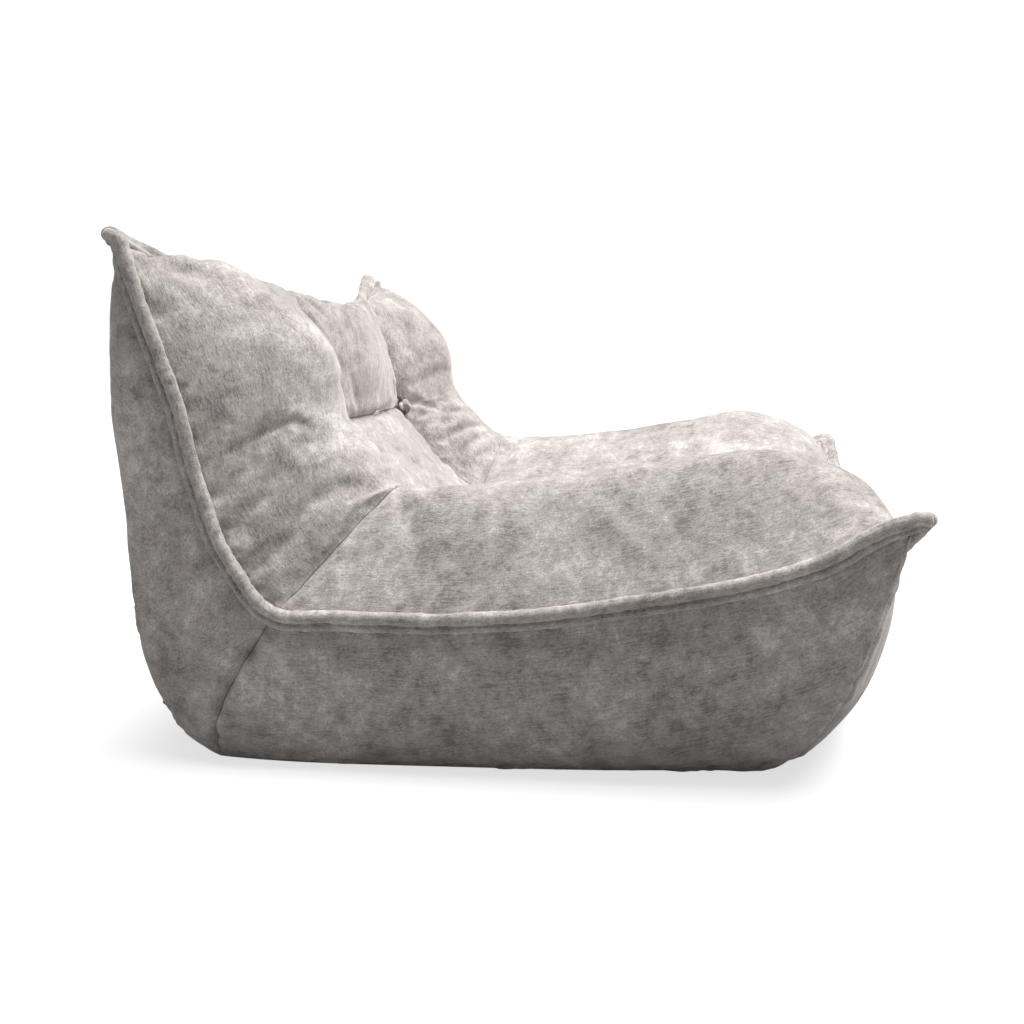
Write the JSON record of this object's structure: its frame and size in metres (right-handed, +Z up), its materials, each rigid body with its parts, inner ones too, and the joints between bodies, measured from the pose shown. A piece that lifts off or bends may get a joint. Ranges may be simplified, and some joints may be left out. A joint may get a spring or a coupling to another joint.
{
  "type": "bean bag chair",
  "caption": "Large wedge-shaped bean bag lounge chair with raised bolsters, a tufted winged back and a corded flange round the upper cover.",
  "frame": {"origin": "middle of the footprint, on the floor under the chair", "axes": "+X to the sitter's left, -Y to the front of the seat, +Z up"},
  "size_m": [1.1186, 1.0978, 0.72],
  "materials": {
    "chenille": "matte",
    "flange_fold_cloth": "matte",
    "base_cloth": "matte",
    "wadding": "matte",
    "liner_cloth": "matte",
    "beads": "matte",
    "cotton_cord": "matte",
    "anchor_plastic": "satin",
    "zip_tape": "matte",
    "zip_teeth": "satin",
    "zip_metal": "satin"
  },
  "bodies": {
    "cover": {"base_panel": "base_cloth", "bead_fill": "beads", "flange_cord_front": "cotton_cord", "flange_cord_left": "cotton_cord", "flange_cord_right": "cotton_cord", "flange_cord_top": "cotton_cord", "flange_fold_front": "flange_fold_cloth", "flange_fold_left": "flange_fold_cloth", "flange_fold_right": "flange_fold_cloth", "flange_fold_top": "flange_fold_cloth", "flange_sleeve_front": "chenille", "flange_sleeve_left": "chenille", "flange_sleeve_right": "chenille", "flange_sleeve_top": "chenille", "front_panel": "chenille", "liner_bag": "liner_cloth", "liner_port_strip": "liner_cloth", "lumbar_pad": "wadding", "lumbar_panel": "chenille", "pillow_pad": "wadding", "pillow_panel": "chenille", "rear_shell_panel": "chenille", "seat_pad": "wadding", "seat_panel": "chenille", "side_panel_left": "chenille", "side_panel_right": "chenille", "tuft_anchor_left": "anchor_plastic", "tuft_anchor_right": "anchor_plastic", "tuft_button_left": "chenille", "tuft_button_right": "chenille", "tuft_cord_left": "cotton_cord", "tuft_cord_right": "cotton_cord", "wing_pad_left": "wadding", "wing_pad_right": "wadding", "wing_panel_left": "chenille", "wing_panel_right": "chenille", "zip_stop_closed": "zip_metal", "zip_stop_open": "zip_metal", "zip_tape_lower": "zip_tape", "zip_tape_upper": "zip_tape", "zip_teeth_lower": "zip_teeth", "zip_teeth_upper": "zip_teeth"},
    "zip_slider": {"zip_slider": "zip_metal"},
    "zip_pull": {"zip_pull": "zip_metal"}
  },
  "joints": [
    {"name": "zip_slide", "type": "slide", "parent": "cover", "child": "zip_slider", "axis": [1, 0, 0], "range_m": [0, 0.484]},
    {"name": "zip_pull_swing", "type": "hinge", "parent": "zip_slider", "child": "zip_pull", "pos_m": [-0.2422, 0.48117, 0.045], "axis": [0, 0.6079, 0.794], "range_deg": [-88, 88]}
  ]
}
